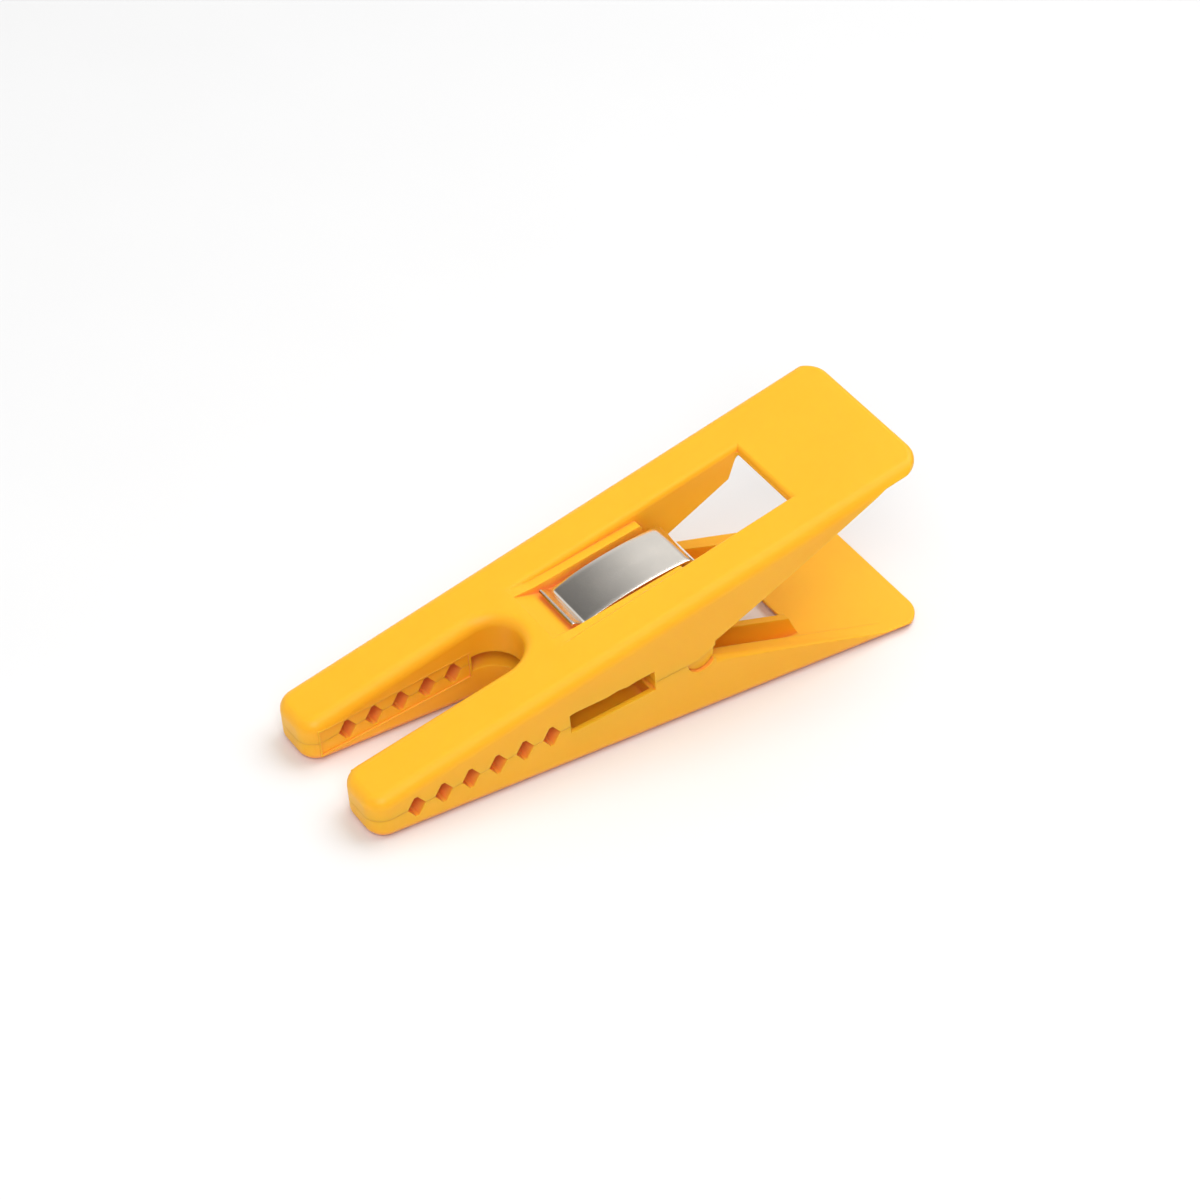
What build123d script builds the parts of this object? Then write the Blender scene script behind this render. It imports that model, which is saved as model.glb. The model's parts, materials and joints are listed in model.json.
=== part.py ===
"""Forked laundry clothespin: two moulded levers and one flat C spring.

All lengths are millimetres. Everything is first drawn in the jaw frame: X runs from the
jaw tips (0) to the handle end, Y across, Z = 0 is the plane where the jaws meet. The pin is
then tilted so that it lies on the flat outer face of the lower lever.
"""
from build123d import *
import math
import os

# --- driving dimensions -------------------------------------------------------------
LENGTH = 100.0          # tip to handle end
HALF_TIP = 14.5         # half width at the tips
HALF_END = 15.05        # half width at the handle end
OUT_Z0 = 3.76           # outer face height over the jaw plane at X = 0
OUT_SLOPE = 0.14        # rise of the outer face per mm
EDGE_R = 2.1            # rounding of the outer long edges, the tips and the slot
REAR_R = 1.0            # rounding of the outer rear edge
REAR_X0 = 72.0          # the rear part, with the finer edge, starts here
TIP_R = 3.2             # plan rounding of each prong
END_R = 4.6             # plan rounding of the handle corners
JAW_GAP = 0.02          # each jaw face stands this far off the jaw plane

SLOT_TIP = 4.67         # half width of the fork slot at the tips
SLOT_R = 5.2            # radius of its closed end
SLOT_END = 35.0         # where the slot ends
BAND_D = 0.2            # depth of the relieved band in the slot walls
BAND_H = 2.4
RIDGE = 0.07            # fine ridge that frames the band

TOOTH_X = 5.66          # front corner of the first notch
TOOTH_PITCH = 4.72
TOOTH_L = 3.15
TOOTH_H = 1.9
TOOTH_N = 6

HOLE_X0, HOLE_X1 = 34.2, 49.4      # line hole between the jaws
HOLE_UP, HOLE_LOW = 2.4, 1.5       # its depth in the upper and the lower jaw
HOLE_RIPPLE = 0.3                  # two shallow ripples in its upper edge
CORE_X0 = 29.4                     # the cored middle of the line hole starts here
CORE_Y = 9.0
CORE_Z = 1.5
POCKET_Y = 13.9                    # cored pocket behind the line hole's rim
POCKET_Z = 4.2

PIVOT_X = 57.9
BOSS_R = 2.5
GROOVE_R = 2.56
BOSS_HALF = 14.2
V_X = 57.1              # the inner faces part here
V_SLOPE = 0.4326        # slope of the inner faces behind the pivot
V_EDGE_R = 1.1          # rounding of their outer long edges
PLATE_T = 1.4           # thickness of the handle plate

WIN_Y = 6.9             # half width of the window
WIN_X0, WIN_X1 = 61.3, 80.2
WIN_EDGE_R = 1.0        # rounding where the outer face turns down into it
WALL_T = 1.25           # thin wall beside the window
FLANGE_Y = 12.4         # inside face of the outer flange
CHANNEL_X0 = 60.4
WALL_END_V = 78.2       # rear end of the thin wall at its free edge

SEAT_X0 = 35.2          # spring seat: where the ledge leaves the outer face
SEAT_X1 = 41.5          # dips to here in a flat curve, then it climbs
SEAT_Z = 8.93
SEAT_SLOPE = 0.0795
RIB_R = 0.8             # rounded rear end of the ledge
TRENCH_Y = 5.4
TRENCH_X0 = 37.9
TRENCH_Z = 7.14         # floor under the spring

SPRING_W = 9.2
SPRING_T = 0.6
SPRING_LIP = (41.85, 8.65)     # the points below follow the middle of the strip
SPRING_TOE = (43.35, 7.80)
SPRING_HEEL = (43.95, 7.56)    # lowest point, where it presses on the seat
SPRING_RISE = (44.55, 7.66)
SPRING_MID = (53.1, 9.13)
SPRING_END = (62.3, 9.46)
SPRING_TURN = (64.28, 8.22)
SPRING_BACK = (66.18, 0.0)


def outer_z(x):
    return OUT_Z0 + OUT_SLOPE * x


def inner_z(x):
    return V_SLOPE * (x - V_X)


def ledge_z(x):
    return SEAT_Z + SEAT_SLOPE * (x - SEAT_X1)


def plate_x():
    """Where the sloping inner faces run into the inside of the handle plate."""
    return (OUT_Z0 - PLATE_T + V_SLOPE * V_X) / (V_SLOPE - OUT_SLOPE)


def half_width(x):
    return HALF_TIP + (HALF_END - HALF_TIP) * x / LENGTH


def slot_half(x):
    return SLOT_TIP + (SLOT_R - SLOT_TIP) * x / (SLOT_END - SLOT_R)


def slab(points, half_width):
    """A side profile in X, Z pushed out both ways across Y."""
    outline = Plane.XZ * Polyline(*points, close=True)
    return extrude(make_face(outline), amount=half_width, both=True)


def strip(points, z0, z1):
    """A plan outline in X, Y standing from z0 to z1."""
    outline = Plane.XY.offset(z0) * Polyline(*points, close=True)
    return extrude(make_face(outline), amount=z1 - z0)


def box(x0, x1, y0, y1, z0, z1):
    return Pos((x0 + x1) / 2, (y0 + y1) / 2, (z0 + z1) / 2) * Box(x1 - x0, y1 - y0, z1 - z0)


def bar_plan(x0, x1):
    """A piece of the slightly flared bar, without the slot and with square corners."""
    corners = [(x0, -half_width(x0)), (x1, -half_width(x1)), (x1, half_width(x1)), (x0, half_width(x0))]
    return strip(corners, -5, 40)


def wedge():
    """Everything between the jaw face and the outer face."""
    far = LENGTH + 12
    return slab([(-2, JAW_GAP), (far, JAW_GAP), (far, outer_z(far)), (-2, outer_z(-2))], 20)


def front_half():
    """The two prongs: slot, rounded tips, and rounded outer edges."""
    centre = SLOT_END - SLOT_R
    slot = strip([(-1, -slot_half(-1)), (centre, -SLOT_R), (centre, SLOT_R), (-1, slot_half(-1))], -5, 40)
    slot += Pos(centre, 0, 17) * Cylinder(SLOT_R, 46)
    bar = bar_plan(0, REAR_X0) - slot
    bar = fillet(bar.edges().filter_by(Axis.Z).group_by(Axis.X)[0], TIP_R)
    blank = bar & wedge()
    top = blank.faces().sort_by(Axis.Z)[-1]
    return fillet(top.edges().sort_by(Axis.X)[:-1], EDGE_R)


def rear_half():
    """The handle: long edges as in front, with a finer edge round the end."""
    bar = bar_plan(REAR_X0, LENGTH)
    bar = fillet(bar.edges().filter_by(Axis.Z).group_by(Axis.X)[-1], END_R)
    blank = bar & wedge()
    top = blank.faces().sort_by(Axis.Z)[-1]
    blank = fillet(top.edges().sort_by(Axis.X)[1:], REAR_R)
    long_bar = bar_plan(REAR_X0, LENGTH + 10) & wedge()
    top = long_bar.faces().sort_by(Axis.Z)[-1]
    long_bar = fillet(top.edges().filter_by(lambda edge: abs(edge.center().Y) > 10), EDGE_R)
    return blank & long_bar


def lever_blank():
    """The wedge shaped bar with every outer edge rounded."""
    return front_half() + rear_half()


def inner_edge_cut():
    """Rounds the outer long edges of the sloping inner faces, fading out towards the plate."""
    x0, x1 = PIVOT_X + BOSS_R, plate_x()
    y0, y1 = half_width(x0), half_width(x1) + V_EDGE_R
    bar = strip([(x0, -y0), (x1, -y1), (x1, y1), (x0, y0)], -5, 40)
    rounded = bar & slab([(x0, inner_z(x0)), (x1, inner_z(x1)), (x1, 45), (x0, 45)], 20)
    sides = rounded.faces().sort_by(Axis.Z)[0].edges().filter_by(lambda edge: abs(edge.center().Y) > 10)
    rounded = fillet(sides, V_EDGE_R)
    return box(x0, x1, -20, 20, -4, 38) - rounded


def handle_cut():
    """What is taken away behind the pivot to leave the sloping flanges and the thin end plate."""
    meet = plate_x()
    far = LENGTH + 2
    return slab([(V_X, -3), (V_X, 0), (meet, inner_z(meet)), (far, outer_z(far) - PLATE_T), (far, -3)], 20)


def channel(side):
    """Cored channel between the window wall and the outer flange."""
    y0, y1 = sorted((side * (WIN_Y + WALL_T), side * FLANGE_Y))
    far = LENGTH - 3
    run = slab([(CHANNEL_X0, -1), (CHANNEL_X0, outer_z(CHANNEL_X0) - 2.2),
                (far, outer_z(far) - PLATE_T), (far, -1)], 20)
    return run & box(CHANNEL_X0, far, y0, y1, -1, 25)


def pad_hollow():
    """Hollow under the handle pad, open to the window."""
    far = LENGTH - 3
    lean = (WIN_X1 - WALL_END_V) / 5.0
    start = WIN_X1 - lean * 15
    roof = outer_z(WIN_X1) - PLATE_T
    run = slab([(start, roof - 15), (WIN_X1, roof), (far, outer_z(far) - PLATE_T),
                (far, -1), (start, -1)], 20)
    return run & box(60, far, -FLANGE_Y, FLANGE_Y, -1, 25)


def window():
    opening = box(WIN_X0, WIN_X1, -WIN_Y, WIN_Y, -1, 25)
    return fillet(opening.edges().filter_by(Axis.Z).group_by(Axis.X)[-1], 0.6)


def seat_line():
    """The ledge's front end in X, Z: leaves the outer face along it and flattens into the ledge."""
    steps = 8
    start = outer_z(SEAT_X0)
    run = SEAT_X1 - SEAT_X0
    line = []
    for i in range(steps + 1):
        t = i / steps
        ease = t * t * (3 - 2 * t)
        x = SEAT_X0 + run * t
        line.append((x, start + OUT_SLOPE * run * t * (1 - ease) + (SEAT_Z - start) * ease))
    return line


def seat():
    """Stepped seat for the spring: two ledges with a deeper trench between them."""
    end = WIN_X0 + 0.5
    ledge = slab(seat_line() + [(end, ledge_z(end)), (end, 25), (SEAT_X0, 25)], WIN_Y)
    trench = slab([(TRENCH_X0, SEAT_Z), (43.0, TRENCH_Z), (end, TRENCH_Z), (end, 25),
                   (TRENCH_X0, 25)], TRENCH_Y)
    trench = fillet(trench.edges().filter_by(Axis.Y).group_by(Axis.Z)[0].group_by(Axis.X)[0], 2.5)
    return ledge + trench


def rib_ends():
    """Rounds the rear ends of the ledges."""
    x, z = WIN_X0 - RIB_R, ledge_z(WIN_X0) - RIB_R
    corner = box(x, WIN_X0 + 0.3, -WIN_Y, WIN_Y, z, z + 2)
    return corner - Pos(x, 0, z) * Rot(90, 0, 0) * Cylinder(RIB_R, 30)


def opening_flare():
    """Rounds the outer face down into the window and, fading out in front, into the seat."""
    r = WIN_EDGE_R
    half = WIN_Y + r
    run = (WIN_X1 - SEAT_X0) * math.hypot(1, OUT_SLOPE) + r
    trough = box(0, run, -half, half, -r, 5)
    for side in (-1, 1):
        trough -= Pos(run / 2, side * half, -r) * Rot(0, 90, 0) * Cylinder(r, run + 2)
    trough -= Pos(run, 0, -r) * Rot(90, 0, 0) * Cylinder(r, 2 * half + 2)
    trough = Pos(SEAT_X0, 0, outer_z(SEAT_X0)) * Rot(0, -math.degrees(math.atan(OUT_SLOPE)), 0) * trough
    far = WIN_X1 + 3
    above = slab(seat_line() + [(WIN_X0, ledge_z(WIN_X0)), (WIN_X0, 5), (far, 5), (far, 25),
                                (SEAT_X0, 25)], half)
    return trough & above


def notches():
    """Tooth notches through both prongs; the last one stops at the cored middle."""
    cut = Part()
    for i in range(TOOTH_N):
        x = TOOTH_X + TOOTH_PITCH * i
        mid = x + TOOTH_L / 2
        cut += slab([(x, 0), (mid - 0.3, TOOTH_H), (mid + 0.3, TOOTH_H), (x + TOOTH_L, 0),
                     (x + TOOTH_L, -1), (x, -1)], 20)
    return cut - box(CORE_X0 - 0.5, HOLE_X0, -CORE_Y, CORE_Y, -2, 5)


def band_outline(x0, x1, depth):
    near, far = slot_half(x0) + depth, slot_half(x1) + depth
    return [(x0, -near), (x1, -far), (x1, far), (x0, near)]


def slot_bands():
    """Shallow relieved band along both walls of the slot."""
    return strip(band_outline(2.4, CORE_X0 - 0.4, BAND_D), -1, BAND_H)


def band_ridges():
    """A fine ridge over each band, turning down at the tip."""
    x1 = SLOT_END - SLOT_R - 0.4
    outer = strip(band_outline(2.2, x1, 0.4), JAW_GAP, BAND_H + 0.2)
    inner = strip(band_outline(2.0, x1 + 1, -RIDGE), -1, BAND_H + 1)
    level = strip(band_outline(2.5, x1 + 1, 1), -1, BAND_H - 0.05)
    return outer - inner - level


def line_hole(depth, ripple):
    """Long hole between the jaws with a deeper cored middle, walled off from the slot."""
    top = [(HOLE_X0, depth - 0.15), (HOLE_X0 + 1.2, depth), (40.9, depth - ripple),
           (42.8, depth - 0.2 * ripple), (44.6, depth - ripple),
           (46.2, depth - 0.3 * ripple), (HOLE_X1, depth)]
    hole = slab([(HOLE_X1, -1), (HOLE_X0, -1)] + top, 20)
    hole += box(CORE_X0, HOLE_X1 - 1, -CORE_Y, CORE_Y, -1, CORE_Z)
    hole += box(HOLE_X0 + 0.8, HOLE_X1 - 0.6, -POCKET_Y, POCKET_Y, -1, POCKET_Z)
    return hole - box(HOLE_X0 - 1, SLOT_END + 1.4, -SLOT_R - 1, SLOT_R + 1, CORE_Z, 9)


def lever(hole_depth, ripple):
    """One lever, drawn above the jaw plane."""
    body = lever_blank() - handle_cut() - inner_edge_cut()
    body -= opening_flare()
    body = body - window() - seat() - rib_ends()
    body -= channel(1)
    body -= channel(-1)
    body -= pad_hollow()
    body -= slot_bands()
    body += band_ridges()
    body -= notches()
    body -= line_hole(hole_depth, ripple)
    return body


def upper_lever():
    body = lever(HOLE_UP, HOLE_RIPPLE)
    boss = Pos(PIVOT_X, 0, 0) * Rot(90, 0, 0) * Cylinder(BOSS_R, 2 * BOSS_HALF)
    return body + boss


def lower_lever():
    body = mirror(lever(HOLE_LOW, 0), about=Plane.XY)
    groove = Pos(PIVOT_X, 0, 0) * Rot(90, 0, 0) * Cylinder(GROOVE_R, 40)
    return body - groove


def below(point):
    return (point[0], -point[1])


def spring_path():
    """Middle line of the strip, from the upper lip round the back to the lower lip."""
    lip = Line(SPRING_LIP, SPRING_TOE)
    heel = ThreePointArc(SPRING_TOE, SPRING_HEEL, SPRING_RISE)
    bow = ThreePointArc(SPRING_RISE, SPRING_MID, SPRING_END)
    corner = TangentArc(SPRING_END, SPRING_TURN, tangent=(1, 0))
    back = ThreePointArc(SPRING_TURN, SPRING_BACK, below(SPRING_TURN))
    low_corner = TangentArc(below(SPRING_END), below(SPRING_TURN), tangent=(1, 0))
    low_bow = ThreePointArc(below(SPRING_END), below(SPRING_MID), below(SPRING_RISE))
    low_heel = ThreePointArc(below(SPRING_RISE), below(SPRING_HEEL), below(SPRING_TOE))
    low_lip = Line(below(SPRING_TOE), below(SPRING_LIP))
    return lip + heel + bow + corner + back + low_corner + low_bow + low_heel + low_lip


def spring():
    """Flat strip bent to a C; its legs grip the outside of both levers."""
    side = Plane.XZ * trace(spring_path(), SPRING_T)
    return extrude(side, amount=SPRING_W / 2, both=True)


def lay_down(part):
    """Lie the pin on the lower lever's outer face, that face at Z = 0."""
    angle = math.degrees(math.atan(OUT_SLOPE))
    return Rot(0, -angle, 0) * Pos(0, 0, OUT_Z0) * part


if __name__ == "__main__":
    os.makedirs("parts", exist_ok=True)
    pieces = {"upper_lever": upper_lever(), "lower_lever": lower_lever(), "spring": spring()}
    laid = {name: lay_down(piece) for name, piece in pieces.items()}
    boxes = [piece.bounding_box() for piece in laid.values()]
    x_low = min(b.min.X for b in boxes)
    x_high = max(b.max.X for b in boxes)
    z_low = min(b.min.Z for b in boxes)
    shift = Pos(-(x_low + x_high) / 2, 0, -z_low)
    for name, piece in laid.items():
        placed = shift * piece
        export_step(placed, f"parts/{name}.step")
        print(name, len(placed.solids()), round(placed.volume, 1), placed.bounding_box())
    print("shift", shift.position)
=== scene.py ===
# %% [markdown]
# # A moulded clothespin with a flat spring
#
# The pin is two yellow plastic levers and one bent strip of spring steel. The packed
# model gives their sizes, places and motion; this file gives them their finish.
#
# Everything is in metres. X runs along the pin, Y across it and Z up from the table.

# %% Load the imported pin
import json
import math

import bmesh
import bpy
import numpy as np
from mathutils import Matrix, Vector


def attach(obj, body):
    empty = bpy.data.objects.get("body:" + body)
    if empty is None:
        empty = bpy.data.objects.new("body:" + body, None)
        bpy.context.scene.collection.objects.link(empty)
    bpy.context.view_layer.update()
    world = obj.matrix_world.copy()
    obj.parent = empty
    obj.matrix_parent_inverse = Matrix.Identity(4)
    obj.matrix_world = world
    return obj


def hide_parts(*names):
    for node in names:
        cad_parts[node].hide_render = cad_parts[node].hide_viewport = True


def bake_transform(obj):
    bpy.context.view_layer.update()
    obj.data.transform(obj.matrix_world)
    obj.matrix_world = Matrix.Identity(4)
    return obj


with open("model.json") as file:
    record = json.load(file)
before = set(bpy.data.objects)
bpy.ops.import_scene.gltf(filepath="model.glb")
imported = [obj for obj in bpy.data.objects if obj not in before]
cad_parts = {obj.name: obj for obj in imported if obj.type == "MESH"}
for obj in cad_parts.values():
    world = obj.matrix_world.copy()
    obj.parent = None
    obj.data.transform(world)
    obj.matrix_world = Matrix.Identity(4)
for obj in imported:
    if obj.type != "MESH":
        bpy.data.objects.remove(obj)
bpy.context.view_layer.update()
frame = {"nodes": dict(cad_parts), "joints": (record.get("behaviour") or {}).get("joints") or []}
MM = 0.001
scene = bpy.context.scene
print("nodes:", sorted(frame["nodes"]))

# %% [markdown]
# ## The jaw frame
#
# On the real pin the two levers mirror each other about the plane where the jaws meet.
# Lying on a table, that plane is tilted by the slope of the outer face. Measures are
# easiest to read in the jaw's own X, Y and Z, in millimetres from the tips, so one
# helper turns those into metres in the pin's lying place.

# %% From the jaw frame to the table
OUTER_HEIGHT = 3.76     # outer face above the jaw plane, at the tips
OUTER_SLOPE = 0.14      # its rise per millimetre
SHIFT_X = -50.0079
TILT = math.atan(OUTER_SLOPE)
PIVOT_X = 57.9


def lay_down(x, y, z):
    """Turn jaw X and Z by the tilt, after lifting Z by the outer height, then shift X."""
    x, y, z = np.broadcast_arrays(np.asarray(x, float), y, z)
    lifted = z + OUTER_HEIGHT
    table_x = x * math.cos(TILT) - lifted * math.sin(TILT) + SHIFT_X
    table_z = x * math.sin(TILT) + lifted * math.cos(TILT)
    return np.stack([table_x, y, table_z], axis=-1) * MM


pivot = frame["joints"][0]["pos_m"]
print("pivot by the tilt:", lay_down(PIVOT_X, 0, 0), "and by the joint:", pivot)

# %% [markdown]
# ## Yellow plastic
#
# The levers are injection moulded in a through-coloured plastic, so the colour is the
# same in scratches and on edges. Its skin is satin: smooth, with the faint ripple that
# the mould leaves, and thin walls let a little light through. Noise at three sizes gives
# the drift of colour, the uneven gloss and the skin. Where nearby walls close in, the
# yellow is painted a deeper orange: painted shade for the light that bounces in the hollows.

# %% Helpers for the finishes
def new_material(name):
    """A fresh node material, with its shader and its node list at hand."""
    material = bpy.data.materials.new(name)
    material.use_nodes = True
    nodes = material.node_tree.nodes
    return material, nodes, material.node_tree.links, nodes["Principled BSDF"]


def noise(nodes, links, vector, scale, detail, roughness=0.5):
    """A noise texture of that many cells a metre, read at the given coordinates."""
    texture = nodes.new("ShaderNodeTexNoise")
    texture.inputs["Scale"].default_value = scale
    texture.inputs["Detail"].default_value = detail
    texture.inputs["Roughness"].default_value = roughness
    links.new(vector, texture.inputs["Vector"])
    return texture.outputs["Fac"]


def spread(nodes, links, value, low, high):
    """Map the middle of a noise value, 0.3 to 0.7, onto low to high."""
    ranged = nodes.new("ShaderNodeMapRange")
    ranged.inputs["From Min"].default_value = 0.3
    ranged.inputs["From Max"].default_value = 0.7
    ranged.inputs["To Min"].default_value = low
    ranged.inputs["To Max"].default_value = high
    links.new(value, ranged.inputs["Value"])
    return ranged.outputs["Result"]


def two_tone(nodes, links, factor, first, second):
    """A colour that drifts from the first to the second as the factor goes from 0 to 1."""
    mix = nodes.new("ShaderNodeMix")
    mix.data_type = "RGBA"
    mix.inputs["A"].default_value = (*first, 1)
    mix.inputs["B"].default_value = (*second, 1)
    links.new(factor, mix.inputs["Factor"])
    return mix.outputs["Result"]


# %% Make the yellow plastic
plastic, nodes, links, shader = new_material("satin_yellow_plastic")
place = nodes.new("ShaderNodeTexCoord").outputs["Object"]
drift = spread(nodes, links, noise(nodes, links, place, 60, 3), 0, 1)
yellow = two_tone(nodes, links, drift, (0.990, 0.472, 0.020), (0.980, 0.455, 0.018))
# Painted shade: where the occlusion finds walls close by, the base colour turns to a deeper
# orange.
painted_shade_occlusion = nodes.new("ShaderNodeAmbientOcclusion")
painted_shade_occlusion.samples = 8
painted_shade_occlusion.inputs["Distance"].default_value = 3.5 * MM
painted_cavity_shade = nodes.new("ShaderNodeMix")
painted_cavity_shade.data_type = "RGBA"
painted_cavity_shade.inputs["A"].default_value = (1.0, 0.32, 0.075, 1)
links.new(spread(nodes, links, painted_shade_occlusion.outputs["AO"], 0, 1), painted_cavity_shade.inputs["Factor"])
links.new(yellow, painted_cavity_shade.inputs["B"])
links.new(painted_cavity_shade.outputs["Result"], shader.inputs["Base Color"])
gloss = spread(nodes, links, noise(nodes, links, place, 260, 4), 0.34, 0.44)
links.new(gloss, shader.inputs["Roughness"])
shader.inputs["Specular IOR Level"].default_value = 0.25
shader.inputs["Subsurface Weight"].default_value = 0.4
shader.inputs["Subsurface Radius"].default_value = (1.0, 0.6, 0.25)
shader.inputs["Subsurface Scale"].default_value = 2.5 * MM
edge = nodes.new("ShaderNodeBevel")
edge.samples = 4
edge.inputs["Radius"].default_value = 0.22 * MM
skin = nodes.new("ShaderNodeBump")
links.new(edge.outputs["Normal"], skin.inputs["Normal"])
skin.inputs["Strength"].default_value = 0.12
skin.inputs["Distance"].default_value = 0.02 * MM
links.new(noise(nodes, links, place, 2600, 3), skin.inputs["Height"])
links.new(skin.outputs["Normal"], shader.inputs["Normal"])
print("material:", plastic.name)

# %% [markdown]
# ## The two levers
#
# A moulded lever has no knife edges: the tool leaves a small radius on every crisp edge,
# which the plastic's shading rounds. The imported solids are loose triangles, so each lever
# is a copy with its triangles joined and its flat faces cleared of inner edges. Shading
# runs smoothly over every edge that turns less than 28 degrees.

# %% Levers
JOIN_DISTANCE = 0.002 * MM
FLAT_ANGLE = math.radians(0.2)
CRISP_ANGLE = math.radians(28)


def moulded_lever(node_name, piece_name, body_name):
    """A packed lever with joined triangles, clean flat faces and smooth shading."""
    mesh = frame["nodes"][node_name].data.copy()
    mesh.name = piece_name
    work = bmesh.new()
    work.from_mesh(mesh)
    bmesh.ops.remove_doubles(work, verts=work.verts, dist=JOIN_DISTANCE)
    bmesh.ops.dissolve_limit(work, angle_limit=FLAT_ANGLE, verts=work.verts, edges=work.edges)
    open_edges = sum(not edge.is_manifold for edge in work.edges)
    work.to_mesh(mesh)
    work.free()
    if "custom_normal" in mesh.attributes:
        mesh.attributes.remove(mesh.attributes["custom_normal"])
    mesh.polygons.foreach_set("use_smooth", np.ones(len(mesh.polygons), bool))
    mesh.set_sharp_from_angle(angle=CRISP_ANGLE)
    piece = bpy.data.objects.new(piece_name, mesh)
    scene.collection.objects.link(piece)
    mesh.materials.clear()
    mesh.materials.append(plastic)
    even = piece.modifiers.new("even shading", "WEIGHTED_NORMAL")
    even.keep_sharp = True
    even.weight = 100
    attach(piece, body_name)
    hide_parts(node_name)
    print(piece_name, "faces:", len(mesh.polygons), "open edges:", open_edges)


moulded_lever("upper_lever", "upper_lever_shell", "upper")
moulded_lever("lower_lever", "lower_lever_shell", "lower")

# %% [markdown]
# ## Spring steel
#
# The spring is stamped from rolled strip, so its faces carry fine lines along the strip.
# The lines follow the bend, so the pattern reads the strip's own UV map, U along and V
# across, both in metres. The cut ends are darker than the rolled faces, with a speckle
# where the steel tore, and they are the only place where U stays below zero.

# %% Make the steel
steel, nodes, links, shader = new_material("rolled_spring_steel")
uv = nodes.new("ShaderNodeUVMap")
uv.uv_map = "strip"
along = nodes.new("ShaderNodeMapping")
along.inputs["Scale"].default_value = (1, 22, 1)
links.new(uv.outputs["UV"], along.inputs["Vector"])
lines = noise(nodes, links, along.outputs["Vector"], 700, 4, 0.6)
place = nodes.new("ShaderNodeTexCoord").outputs["Object"]
cloud = noise(nodes, links, place, 220, 3)
tone = spread(nodes, links, cloud, 0, 1)
rolled = two_tone(nodes, links, tone, (0.94, 0.88, 0.80), (0.88, 0.83, 0.76))
speckle = spread(nodes, links, noise(nodes, links, place, 6000, 2), 0, 1)
torn = two_tone(nodes, links, speckle, (0.10, 0.07, 0.05), (0.55, 0.45, 0.35))
parts = nodes.new("ShaderNodeSeparateXYZ")
links.new(uv.outputs["UV"], parts.inputs["Vector"])
cut = nodes.new("ShaderNodeMath")
cut.operation = "LESS_THAN"
cut.inputs[1].default_value = 0.0
links.new(parts.outputs["X"], cut.inputs[0])
ends = nodes.new("ShaderNodeMix")
ends.data_type = "RGBA"
links.new(cut.outputs["Value"], ends.inputs["Factor"])
links.new(rolled, ends.inputs["A"])
links.new(torn, ends.inputs["B"])
links.new(ends.outputs["Result"], shader.inputs["Base Color"])
shader.inputs["Metallic"].default_value = 1.0
shader.inputs["Anisotropic"].default_value = 0.35
links.new(spread(nodes, links, lines, 0.13, 0.22), shader.inputs["Roughness"])
grain = nodes.new("ShaderNodeBump")
grain.inputs["Strength"].default_value = 0.15
grain.inputs["Distance"].default_value = 0.01 * MM
links.new(lines, grain.inputs["Height"])
links.new(grain.outputs["Normal"], shader.inputs["Normal"])
print("material:", steel.name)

# %% [markdown]
# ## The spring
#
# One strip is bent to a C. Its legs press on the outside of both levers near the line
# hole, each ending in a short lip that points outward, and its back closes round behind
# the pivot. A strip keeps its section everywhere, so it is a profile carried along a
# path: the path is a chain of arcs in the jaw's X and Z, mirrored for the lower leg.

# %% The strip's middle line
STRIP_WIDTH = 9.2
STRIP_THICKNESS = 0.6
STRIP_CORNER = 0.13
LIP = np.array([41.85, 8.65])
TOE = np.array([43.35, 7.80])
HEEL = np.array([43.95, 7.56])
RISE = np.array([44.55, 7.66])
BOW = np.array([53.1, 9.13])
BOW_END = np.array([62.3, 9.46])
TURN = np.array([64.28, 8.22])
BACK = np.array([66.18, 0.0])


def circle_centre(a, b, c):
    """The point equally far from a, b and c: two linear equations, one for each chord's middle."""
    chords = np.array([b - a, c - b])
    middles = np.array([(a + b) / 2, (b + c) / 2])
    return np.linalg.solve(chords, (chords * middles).sum(axis=1))


def arc(a, b, c, steps):
    """Points on the circle from a through b to c, at equal turns about its centre."""
    centre = circle_centre(a, b, c)
    turns = np.unwrap([math.atan2(*(p - centre)[::-1]) for p in (a, b, c)])
    angle = np.linspace(turns[0], turns[2], steps)
    return centre + np.linalg.norm(a - centre) * np.stack([np.cos(angle), np.sin(angle)], axis=1)


def corner_arc(a, c, steps):
    """The arc that leaves a level and ends at c: its centre is straight below a."""
    drop = ((c - a) ** 2).sum() / (2 * (a[1] - c[1]))
    centre = a - [0, drop]
    end = math.atan2(*(c - centre)[::-1])
    angle = np.linspace(math.pi / 2, end, steps)
    return centre + drop * np.stack([np.cos(angle), np.sin(angle)], axis=1)


def strip_path():
    """The upper leg from its lip to the turn, half the back, and the same mirrored below."""
    lip = np.linspace(LIP, TOE, 5)
    heel = arc(TOE, HEEL, RISE, 9)
    bow = arc(RISE, BOW, BOW_END, 28)
    corner = corner_arc(BOW_END, TURN, 14)
    low_turn = TURN * [1, -1]
    back = arc(TURN, BACK, low_turn, 41)[:21]
    half = np.concatenate([lip[:-1], heel[:-1], bow[:-1], corner[:-1], back])
    return np.concatenate([half, half[-2::-1] * [1, -1]])


path = strip_path()
print("middle line:", len(path), "points, length",
      round(float(np.linalg.norm(np.diff(path, axis=0), axis=1).sum()), 1), "mm")

# %% [markdown]
# The section is a flat rounded rectangle. It is drawn once as a closed loop, then set
# up at each station with its thickness along the path's normal. At the two cut ends the
# loop shrinks over three stations, so each end is softly rounded before it is closed.

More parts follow.
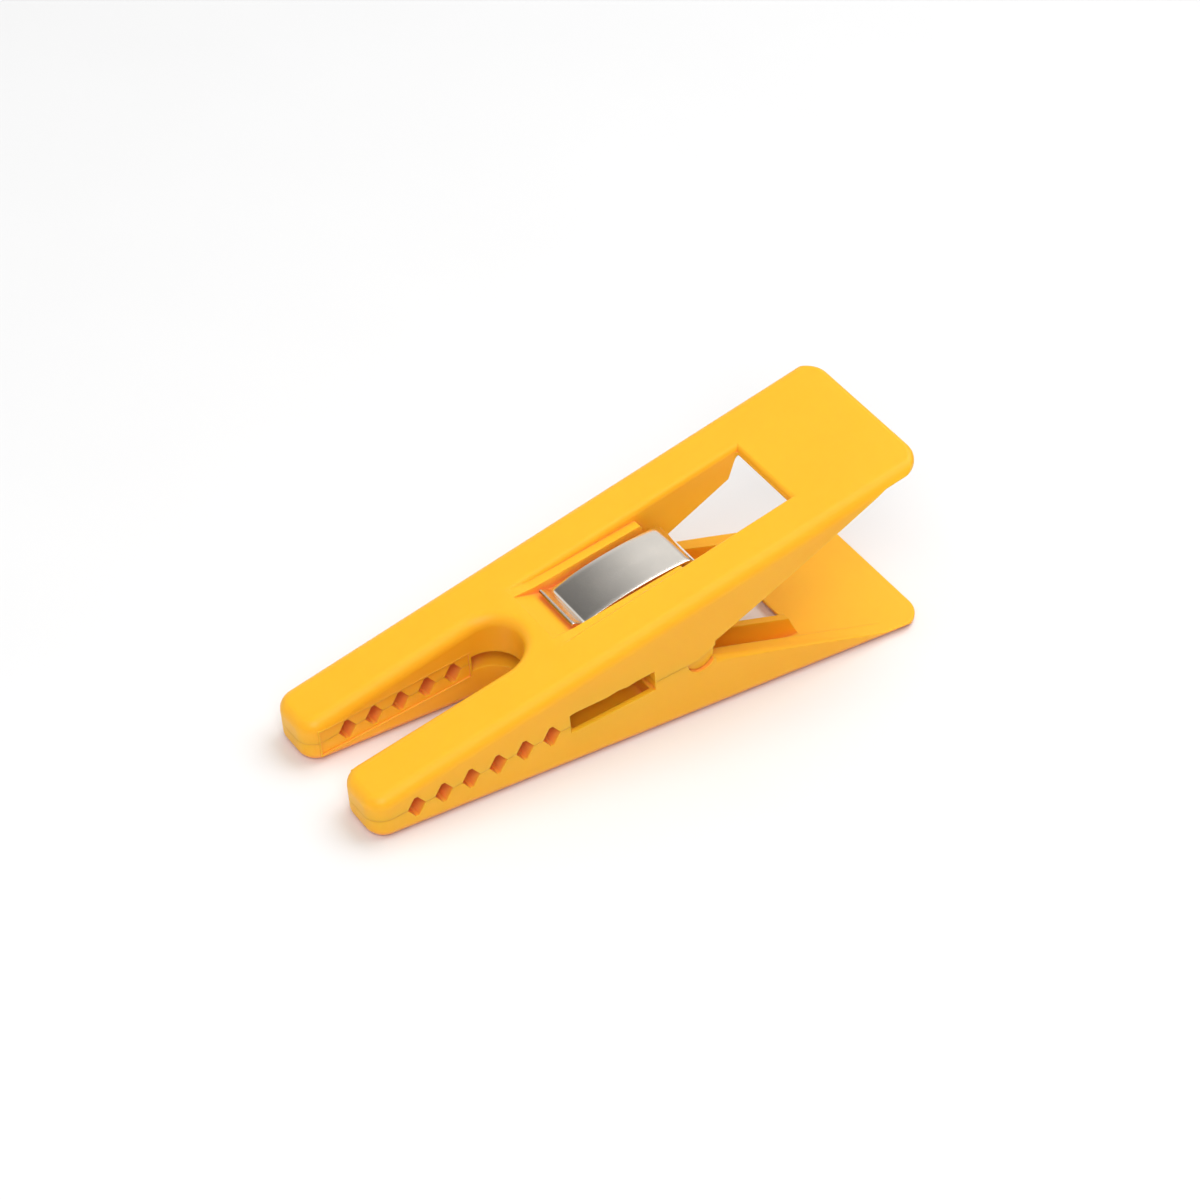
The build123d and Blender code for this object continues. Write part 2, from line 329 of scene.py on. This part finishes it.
# %% Carry the section along the line
def section_loop(per_corner=4, per_flat=9):
    """Corners of small quarter circles joined by flats: columns are across and through."""
    half = np.array([STRIP_WIDTH, STRIP_THICKNESS]) / 2 - STRIP_CORNER
    quarter = np.linspace(0, math.pi / 2, per_corner)
    loop = []
    for turn, (side, face) in enumerate([(1, 1), (-1, 1), (-1, -1), (1, -1)]):
        angle = quarter + turn * math.pi / 2
        rounding = np.stack([np.cos(angle), np.sin(angle)], axis=1) * STRIP_CORNER
        corner = rounding + half * [side, face]
        loop.append(corner)
        if turn % 2 == 0:
            flat = np.linspace(corner[-1], corner[-1] * [-1, 1], per_flat + 2)[1:-1]
            loop.append(flat)
    return np.concatenate(loop)


def carried_strip(name):
    """Point = path point + across along Y + through along the path's normal.

    Near an end the loop shrinks by r (1 - cos a) at the distance r (1 - sin a) from it.
    """
    loop = section_loop()
    turn = np.radians([90, 45, 0])
    inward = STRIP_CORNER * (1 - np.sin(turn))
    inset = STRIP_CORNER * (1 - np.cos(turn))
    first = (path[1] - path[0]) / np.linalg.norm(path[1] - path[0])
    last = (path[-2] - path[-1]) / np.linalg.norm(path[-2] - path[-1])
    stations = np.concatenate([path[0] + inward[:, None] * first, path[1:-1],
                               (path[-1] + inward[:, None] * last)[::-1]])
    inset = np.concatenate([inset, np.zeros(len(path) - 2), inset[::-1]])
    length = np.concatenate([[0], np.cumsum(np.linalg.norm(np.diff(stations, axis=0), axis=1))])
    tangent = np.gradient(stations, length, axis=0)
    tangent /= np.linalg.norm(tangent, axis=1, keepdims=True)
    normal = np.stack([-tangent[:, 1], tangent[:, 0]], axis=1)
    across = loop[None, :, 0] * (1 - inset[:, None] * 2 / STRIP_WIDTH)
    through = loop[None, :, 1] * (1 - inset[:, None] * 2 / STRIP_THICKNESS)
    x = stations[:, None, 0] + normal[:, None, 0] * through
    z = stations[:, None, 1] + normal[:, None, 1] * through
    y = np.broadcast_to(across, x.shape)
    points = lay_down(x, y, z)
    rows, columns = x.shape
    index = np.arange(rows * columns).reshape(rows, columns)
    nxt = np.roll(index, -1, axis=1)
    quads = np.stack([index[:-1], index[1:], nxt[1:], nxt[:-1]], axis=-1).reshape(-1, 4)
    faces = quads.tolist() + [index[0].tolist(), index[-1][::-1].tolist()]
    mesh = bpy.data.meshes.new(name)
    mesh.from_pydata(points.reshape(-1, 3), [], faces)
    layer = mesh.uv_layers.new(name="strip")
    corner_vertex = np.empty(len(mesh.loops), int)
    mesh.loops.foreach_get("vertex_index", corner_vertex)
    along_across = np.stack([np.repeat(length, columns), np.tile(loop[:, 0], rows)], axis=1) * MM
    layout = along_across[corner_vertex]
    end_corners = slice(quads.size, None)
    layout[end_corners, 0] = -1
    layer.data.foreach_set("uv", layout.astype(np.float32).ravel())
    piece = bpy.data.objects.new(name, mesh)
    scene.collection.objects.link(piece)
    return piece


spring = carried_strip("flat_c_spring")
work = bmesh.new()
work.from_mesh(spring.data)
bmesh.ops.recalc_face_normals(work, faces=work.faces)
work.to_mesh(spring.data)
work.free()
spring.data.polygons.foreach_set("use_smooth", np.ones(len(spring.data.polygons), bool))
spring.data.set_sharp_from_angle(angle=math.radians(50))
spring.data.materials.append(steel)
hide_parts("spring")
lay_down(PIVOT_X, 0, -7)
lay_down(PIVOT_X, 0, 7)
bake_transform(spring)
print("spring faces:", len(spring.data.polygons))

# %% [markdown]
# ## Table and light
#
# The pin lies on a plain white table in a softly lit studio. A large softbox overhead and
# to the right lights the top faces, and a small one from the front opens the slot and the
# holes. The room is pale, with a dark gap high at the back: the spring mirrors it, which
# gives the steel its run from dark at the lip to bright at the bend.

# %% The table
paper, nodes, links, shader = new_material("white_table")
place = nodes.new("ShaderNodeTexCoord").outputs["Object"]
clouds = noise(nodes, links, place, 30, 3)
white = two_tone(nodes, links, clouds, (0.82, 0.82, 0.82), (0.80, 0.80, 0.80))
links.new(white, shader.inputs["Base Color"])
shader.inputs["Roughness"].default_value = 0.7
corners = np.array([(-2, -2, 0), (2, -2, 0), (2, 2, 0), (-2, 2, 0)]) - [0, 0, 0.01 * MM]
sheet = bpy.data.meshes.new("table_top")
sheet.from_pydata(corners, [], [(0, 1, 2, 3)])
sheet.materials.append(paper)
table = bpy.data.objects.new("table_top", sheet)
scene.collection.objects.link(table)

# %% The light
def softbox(name, towards, distance, size, power):
    """Put a square area light that far from the pin, in that direction, facing the pin."""
    data = bpy.data.lights.new(name, "AREA")
    data.size = size
    data.energy = power
    lamp = bpy.data.objects.new(name, data)
    direction = Vector(towards).normalized()
    lamp.location = direction * distance
    lamp.rotation_euler = direction.to_track_quat("Z", "Y").to_euler()
    scene.collection.objects.link(lamp)


softbox("overhead_softbox", (0.46, 0.0, 0.88), 1.0, 0.9, 7.0)
softbox("front_fill", (-0.45, -0.60, 0.80), 1.2, 0.7, 8.2)

# The room's brightness against the cosine of the angle from the middle of the dark gap.
GAP_TOWARDS = Vector((-0.22, 0.60, 0.77)).normalized()
ROOM_LEVELS = [(0.3, 0.10), (0.75, 0.74), (0.9, 0.74), (0.988, 0.15)]
world = bpy.data.worlds.new("pale_room")
scene.world = world
world.use_nodes = True
nodes = world.node_tree.nodes
links = world.node_tree.links
facing = nodes.new("ShaderNodeVectorMath")
facing.operation = "DOT_PRODUCT"
facing.inputs[1].default_value = GAP_TOWARDS
links.new(nodes.new("ShaderNodeTexCoord").outputs["Generated"], facing.inputs[0])
sky = nodes.new("ShaderNodeValToRGB")
sky.color_ramp.elements.new(0.9)
sky.color_ramp.elements.new(0.75)
for stop, (at, level) in zip(sky.color_ramp.elements, ROOM_LEVELS):
    stop.position = at
    stop.color = (level, level, level, 1)
links.new(facing.outputs["Value"], sky.inputs["Fac"])
links.new(sky.outputs["Color"], nodes["Background"].inputs["Color"])
scene.view_settings.view_transform = "Standard"

# %% [markdown]
# ## Camera
#
# The view looks down on the pin from the front left at about forty degrees through a
# long lens, with the pin running up to the right and a slight roll.

# %% The camera
CAMERA_PLACE = (-0.28225, -0.37567, 0.41070)
CAMERA_RIGHT = (0.82877, -0.55651, 0.05856)
CAMERA_UP = (0.32243, 0.56045, 0.76284)
lens = bpy.data.cameras.new("view")
lens.sensor_width = 36.0
lens.lens = 121.55
lens.clip_start = 0.01
camera = bpy.data.objects.new("view", lens)
right = Vector(CAMERA_RIGHT).normalized()
up = (Vector(CAMERA_UP) - Vector(CAMERA_UP).project(right)).normalized()
turned = Matrix((right, up, right.cross(up))).transposed().to_4x4()
camera.matrix_world = Matrix.Translation(CAMERA_PLACE) @ turned
scene.collection.objects.link(camera)
scene.camera = camera
